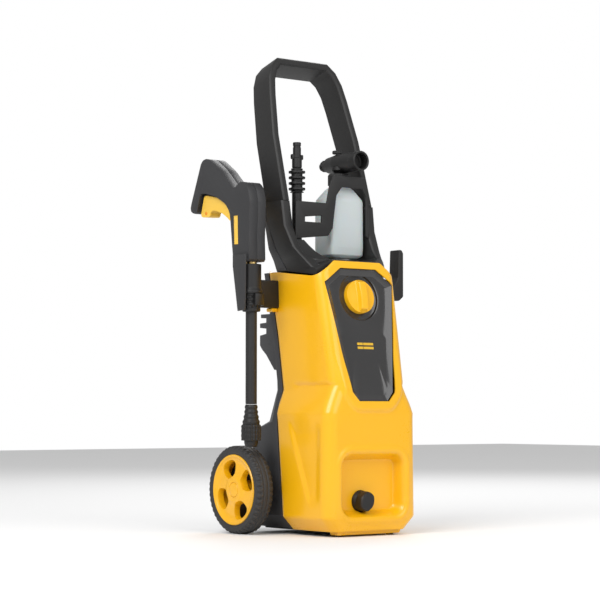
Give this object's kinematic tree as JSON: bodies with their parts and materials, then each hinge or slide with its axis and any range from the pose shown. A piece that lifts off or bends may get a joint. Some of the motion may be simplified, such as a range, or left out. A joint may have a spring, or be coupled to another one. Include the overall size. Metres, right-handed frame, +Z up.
{
  "type": "pressure washer",
  "caption": "Upright electric pressure washer on two wheels, with a loop handle, spray gun and lance, foam bottle, spare lance and side hook.",
  "frame": {"origin": "centre of the footprint of the whole assembly, on the floor", "axes": "+Z up; -Y towards the front, where the control panel is; +X to the right of a person who stands in front of the panel and looks at it"},
  "size_m": [0.3536, 0.3246, 0.8856],
  "materials": {
    "yellow_plastic": "glossy moulded yellow with a light orange-peel surface",
    "black_plastic": "fine matt texture",
    "grey_plastic": "fine matt texture",
    "gun_plastic": "satin",
    "panel_black": "polished",
    "tyre": "moulded rubbery plastic",
    "rubber": "matt",
    "steel": "turned",
    "aluminium": "cast",
    "brass": "turned",
    "copper": "enamelled copper wire and copper pipe",
    "bottle_plastic": "milky translucent, blow moulded"
  },
  "bodies": {
    "root": {"front_cover": "yellow_plastic", "control_panel": "panel_black", "power_switch": "black_plastic", "rear_housing": "grey_plastic", "base_tray": "black_plastic", "foot_pad_left": "rubber", "foot_pad_right": "rubber", "axle_cap_left": "yellow_plastic", "axle_cap_right": "yellow_plastic", "axle": "steel", "handle_yoke": "black_plastic", "handle_frame": "black_plastic", "handle_brace_left": "grey_plastic", "handle_brace_right": "grey_plastic", "gun_holder": "black_plastic", "holder_clip": "yellow_plastic", "nozzle_rack": "grey_plastic", "outlet_fitting": "brass", "inlet_fitting": "black_plastic", "cord_gland": "rubber", "motor_housing": "aluminium", "motor_flange": "aluminium", "motor_bell": "aluminium", "motor_winding": "copper", "pump_case": "aluminium", "pump_head": "brass", "piston_1": "steel", "piston_2": "steel", "piston_3": "steel", "pump_bracket": "steel", "outlet_pipe": "copper", "inlet_pipe": "rubber", "start_capacitor": "black_plastic", "accessory_holder": "black_plastic"},
    "wheel_left": {"wheel_left_rim": "yellow_plastic", "wheel_left_tyre": "tyre"},
    "wheel_right": {"wheel_right_rim": "yellow_plastic", "wheel_right_tyre": "tyre"},
    "power_knob": {"power_knob": "yellow_plastic"},
    "cord_hook": {"cord_hook": "black_plastic"},
    "outlet_cap": {"outlet_cap": "black_plastic"},
    "rotor": {"rotor_shaft": "steel", "cooling_fan": "black_plastic", "swash_plate": "steel"},
    "gun": {"gun_shell_left": "gun_plastic", "gun_shell_right": "gun_plastic", "gun_inlay_left": "yellow_plastic", "gun_inlay_right": "yellow_plastic", "gun_valve": "brass"},
    "trigger": {"trigger": "yellow_plastic"},
    "trigger_lock": {"trigger_lock": "yellow_plastic"},
    "lance": {"lance_sleeve": "black_plastic", "lance_tube": "black_plastic", "nozzle_collar": "black_plastic"},
    "nozzle_tip": {"nozzle_tip": "black_plastic"},
    "spare_lance": {"spare_lance": "black_plastic"},
    "foam_lance": {"foam_bottle": "bottle_plastic", "foam_cap": "black_plastic", "foam_head": "black_plastic"},
    "foam_knob": {"foam_knob": "black_plastic"}
  },
  "joints": [
    {"name": "wheel_left_spin", "type": "hinge", "parent": "root", "child": "wheel_left", "pos_m": [-0.13825, 0.04316, 0.08], "axis": [1, 0, 0], "continuous": true},
    {"name": "wheel_right_spin", "type": "hinge", "parent": "root", "child": "wheel_right", "pos_m": [0.15575, 0.04316, 0.08], "axis": [1, 0, 0], "continuous": true},
    {"name": "power_knob_turn", "type": "hinge", "parent": "root", "child": "power_knob", "pos_m": [0.00875, -0.1235, 0.43], "axis": [0, 0.983, -0.1834], "range_deg": [0, 90]},
    {"name": "cord_hook_swivel", "type": "hinge", "parent": "root", "child": "cord_hook", "pos_m": [0.09645, -0.03084, 0.445], "axis": [1, 0, 0], "range_deg": [0, 180]},
    {"name": "outlet_cap_pull", "type": "slide", "parent": "root", "child": "outlet_cap", "axis": [0, -1, 0], "range_m": [0, 0.03]},
    {"name": "rotor_spin", "type": "hinge", "parent": "root", "child": "rotor", "pos_m": [0.00875, -0.03884, 0.343], "axis": [0, 0, 1], "continuous": true},
    {"name": "gun_lift", "type": "slide", "parent": "root", "child": "gun", "axis": [0, 0, 1], "range_m": [0, 0.3]},
    {"name": "trigger_squeeze", "type": "hinge", "parent": "gun", "child": "trigger", "pos_m": [-0.15225, 0.04116, 0.578], "axis": [1, 0, 0], "range_deg": [0, 9], "stiffness_Nm_per_rad": 0.6, "springref_deg": -14.32},
    {"name": "trigger_lock_push", "type": "slide", "parent": "trigger", "child": "trigger_lock", "axis": [1, 0, 0], "range_m": [0, 0.002]},
    {"name": "lance_twist", "type": "hinge", "parent": "gun", "child": "lance", "pos_m": [-0.15225, -0.00884, 0.45], "axis": [0, 0, 1], "range_deg": [0, 60]},
    {"name": "nozzle_adjust", "type": "hinge", "parent": "lance", "child": "nozzle_tip", "pos_m": [-0.15225, -0.00884, 0.17], "axis": [0, 0, 1], "range_deg": [0, 180]},
    {"name": "spare_lance_lift", "type": "slide", "parent": "root", "child": "spare_lance", "axis": [0, 0, 1], "range_m": [0, 0.14]},
    {"name": "foam_lance_lift", "type": "slide", "parent": "root", "child": "foam_lance", "axis": [0, 0, 1], "range_m": [0, 0.153]},
    {"name": "foam_knob_turn", "type": "hinge", "parent": "foam_lance", "child": "foam_knob", "pos_m": [0.05675, 0.00466, 0.687], "axis": [0, 0, 1], "range_deg": [0, 270]}
  ]
}
